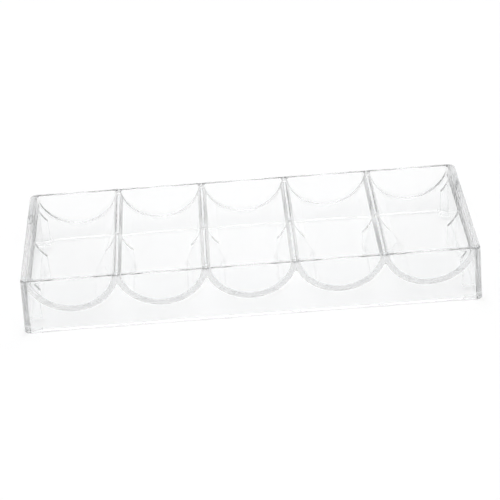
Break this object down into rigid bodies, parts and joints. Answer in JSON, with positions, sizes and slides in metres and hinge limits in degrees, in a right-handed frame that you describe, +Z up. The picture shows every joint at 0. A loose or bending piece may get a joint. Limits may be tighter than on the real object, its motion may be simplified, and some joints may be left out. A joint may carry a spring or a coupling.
{
  "type": "poker chip rack",
  "caption": "Clear open-topped rack: round-bottomed troughs side by side between low walls hold rows of casino chips on edge.",
  "frame": {"origin": "middle of the base, on the surface that the feet stand on", "axes": "+X along the length of the rack, across the rows; -Y towards the front long wall; +Z up, out of the open troughs"},
  "size_m": [0.2136, 0.0792, 0.0282],
  "materials": {
    "clear_wall": "clear polished acrylic",
    "clear_trough": "clear polished acrylic",
    "clear_plate": "clear acrylic, as moulded",
    "clear_foot": "clear acrylic, as moulded"
  },
  "bodies": {
    "root": {"front_wall": "clear_wall", "rear_wall": "clear_wall", "left_end_wall": "clear_wall", "right_end_wall": "clear_wall", "chip_trough_1": "clear_trough", "chip_trough_2": "clear_trough", "chip_trough_3": "clear_trough", "chip_trough_4": "clear_trough", "chip_trough_5": "clear_trough", "divider_plate_1": "clear_plate", "divider_plate_2": "clear_plate", "divider_plate_3": "clear_plate", "divider_plate_4": "clear_plate", "left_front_gusset": "clear_plate", "left_middle_gusset": "clear_plate", "left_rear_gusset": "clear_plate", "right_front_gusset": "clear_plate", "right_middle_gusset": "clear_plate", "right_rear_gusset": "clear_plate", "front_left_foot": "clear_foot", "front_right_foot": "clear_foot", "rear_left_foot": "clear_foot", "rear_right_foot": "clear_foot"}
  },
  "joints": []
}
